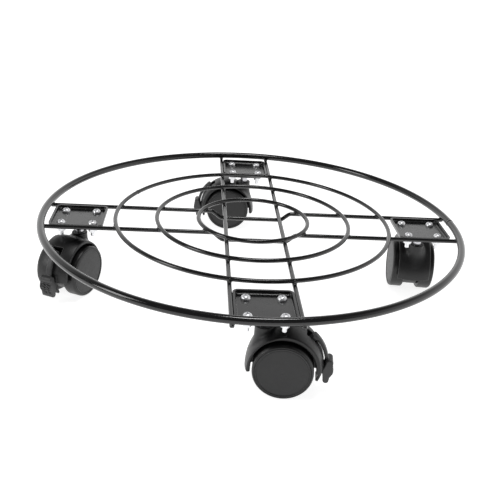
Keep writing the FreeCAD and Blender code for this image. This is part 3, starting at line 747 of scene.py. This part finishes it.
def floor():
    """Plain pale floor at the treads."""
    material, tree, shader = new_material("pale_floor")
    place = object_coordinates(tree)
    tone = ramp(tree, noise(tree, place, 3, 2), 0.3, 0.7, (0.6, 0.6, 0.6), (0.64, 0.64, 0.64))
    tree.links.new(tone, shader.inputs["Base Color"])
    shader.inputs["Roughness"].default_value = 0.9
    shader.inputs["Emission Color"].default_value = (1, 1, 1, 1)
    shader.inputs["Emission Strength"].default_value = 0.85
    bpy.ops.mesh.primitive_plane_add(size=40, location=(0, 0, 0))
    plane = bpy.context.object
    plane.name = "floor"
    plane.data.materials.append(material)


def softbox(name, location, target, size, power):
    """Rectangular lamp aimed at a target."""
    light = bpy.data.lights.new(name, "AREA")
    light.shape = "RECTANGLE"
    light.size, light.size_y = size
    light.energy = power
    lamp = bpy.data.objects.new(name, light)
    bpy.context.scene.collection.objects.link(lamp)
    lamp.location = location
    lamp.rotation_euler = (Vector(target) - Vector(location)).to_track_quat("-Z", "Y").to_euler()


def faded(tree, value, dark_at, bright_at):
    """Smooth fade from 0 to 1 between two values."""
    fade = tree.nodes.new("ShaderNodeMapRange")
    fade.interpolation_type = "SMOOTHSTEP"
    fade.inputs["From Min"].default_value = dark_at
    fade.inputs["From Max"].default_value = bright_at
    tree.links.new(value, fade.inputs["Value"])
    return fade.outputs["Result"]


def studio():
    """White sweep low behind and to the right of the object, darker room elsewhere."""
    world = bpy.data.worlds.new("studio")
    world.use_nodes = True
    tree = world.node_tree
    direction = tree.nodes.new("ShaderNodeTexCoord").outputs["Generated"]
    towards_sweep = tree.nodes.new("ShaderNodeVectorMath")
    towards_sweep.operation = "DOT_PRODUCT"
    towards_sweep.inputs[1].default_value = (0.45, 0.89, 0.0)
    tree.links.new(direction, towards_sweep.inputs[0])
    sweep = faded(tree, towards_sweep.outputs["Value"], -0.45, 0.3)
    split = tree.nodes.new("ShaderNodeSeparateXYZ")
    tree.links.new(direction, split.inputs["Vector"])
    low_down = faded(tree, split.outputs["Z"], 0.85, 0.3)
    share = tree.nodes.new("ShaderNodeMath")
    share.operation = "MULTIPLY"
    tree.links.new(sweep, share.inputs[0])
    tree.links.new(low_down, share.inputs[1])
    strength = tree.nodes.new("ShaderNodeMapRange")
    strength.inputs["To Min"].default_value = 0.14
    strength.inputs["To Max"].default_value = 1.15
    tree.links.new(share.outputs["Value"], strength.inputs["Value"])
    room = tree.nodes["Background"]
    room.inputs["Color"].default_value = (1, 1, 1, 1)
    tree.links.new(strength.outputs["Result"], room.inputs["Strength"])
    # seen directly, the room is a plain pale backdrop
    backdrop = tree.nodes.new("ShaderNodeBackground")
    backdrop.inputs["Color"].default_value = (1, 1, 1, 1)
    backdrop.inputs["Strength"].default_value = 1.0
    seen = tree.nodes.new("ShaderNodeMixShader")
    light_path = tree.nodes.new("ShaderNodeLightPath")
    tree.links.new(light_path.outputs["Is Camera Ray"], seen.inputs["Fac"])
    tree.links.new(room.outputs["Background"], seen.inputs[1])
    tree.links.new(backdrop.outputs["Background"], seen.inputs[2])
    tree.links.new(seen.outputs["Shader"], tree.nodes["World Output"].inputs["Surface"])
    bpy.context.scene.world = world
    softbox("left_box", (-1.5, -0.5, 0.8), (0, 0, 0.05), (0.5, 0.9), 8)
    softbox("overhead_box", (0.1, -0.1, 1.6), (0, 0, 0.05), (0.7, 0.25), 8)
    bpy.context.scene.view_settings.view_transform = "Standard"


def camera():
    """Camera at the photograph's angle, aimed just in front of the centre of the rings."""
    ring_radius, _, ring_height = ring_sizes("outer_ring")
    azimuth, elevation, roll = (math.radians(a) for a in (-5.73, 24.60, 4.418))
    distance = 3.2728 * ring_radius
    target = Vector((0.0109 * ring_radius, -0.375 * ring_radius, ring_height))
    back = Vector((math.sin(azimuth) * math.cos(elevation),
                   -math.cos(azimuth) * math.cos(elevation), math.sin(elevation)))
    right = (-back).cross(Vector((0, 0, 1))).normalized()
    upward = right.cross(-back)
    cam_x = right * math.cos(roll) + upward * math.sin(roll)
    cam_y = -right * math.sin(roll) + upward * math.cos(roll)
    data = bpy.data.cameras.new("camera")
    data.lens, data.sensor_width = 53.15, 36.0
    data.shift_x, data.shift_y = -0.0212, 0.0
    data.clip_start = 0.01
    eye = bpy.data.objects.new("camera", data)
    bpy.context.scene.collection.objects.link(eye)
    turn = Matrix((cam_x, cam_y, back)).transposed().to_4x4()
    eye.matrix_world = Matrix.Translation(target + back * distance) @ turn
    bpy.context.scene.camera = eye


floor()
studio()
camera()

bpy.context.view_layer.update()
